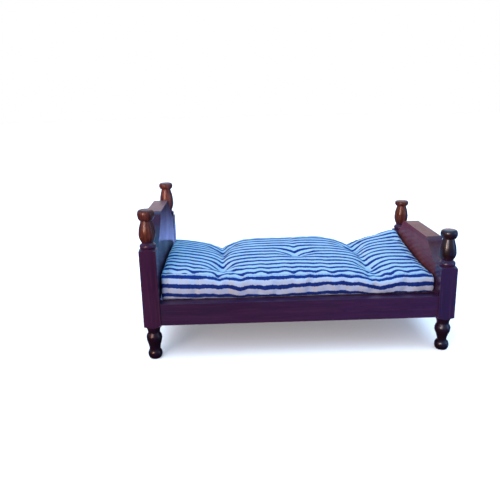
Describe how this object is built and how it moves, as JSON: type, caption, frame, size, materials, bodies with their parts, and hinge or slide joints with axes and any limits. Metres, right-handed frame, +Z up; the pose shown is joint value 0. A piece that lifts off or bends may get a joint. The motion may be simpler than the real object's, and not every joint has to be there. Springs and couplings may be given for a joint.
{
  "type": "miniature four poster bed",
  "caption": "Dolls' house single bed: turned corner posts, scooped headboard and footboard, slatted base, loose tufted mattress in striped ticking.",
  "frame": {"origin": "on the floor under the middle of the bed, in line with the undersides of the feet", "axes": "+X runs along the bed from the headboard to the footboard, +Y from the front rail to the back rail, +Z up"},
  "size_m": [0.178, 0.1024, 0.0891],
  "materials": {
    "stained_mahogany": "dark red-brown mahogany stain under gloss varnish",
    "bare_pine": "bare sanded strip wood",
    "bare_beech": "bare dowel rod",
    "striped_ticking": "woven cotton ticking, off-white with blue stripes, matte",
    "cotton_wadding": "loose cotton wadding",
    "cotton_thread": "twisted cotton thread"
  },
  "bodies": {
    "bedstead": {"head_post_front": "stained_mahogany", "head_post_back": "stained_mahogany", "foot_post_front": "stained_mahogany", "foot_post_back": "stained_mahogany", "headboard": "stained_mahogany", "footboard": "stained_mahogany", "side_rail_front": "stained_mahogany", "side_rail_back": "stained_mahogany", "slat_ledger_front": "bare_pine", "slat_ledger_back": "bare_pine", "slat_1": "bare_pine", "slat_2": "bare_pine", "slat_3": "bare_pine", "slat_4": "bare_pine", "slat_5": "bare_pine", "slat_6": "bare_pine", "slat_7": "bare_pine", "slat_8": "bare_pine", "slat_9": "bare_pine", "rail_dowels": "bare_beech", "headboard_dowels": "bare_beech", "footboard_dowels": "bare_beech"},
    "mattress": {"mattress_cover": "striped_ticking", "mattress_filling": "cotton_wadding", "tuft_tie_head_front": "cotton_thread", "tuft_tie_head_back": "cotton_thread", "tuft_tie_middle": "cotton_thread", "tuft_tie_foot_front": "cotton_thread", "tuft_tie_foot_back": "cotton_thread"}
  },
  "joints": [
    {"name": "mattress_lift", "type": "slide", "parent": "bedstead", "child": "mattress", "axis": [0, 0, 1], "range_m": [0, 0.06]}
  ]
}
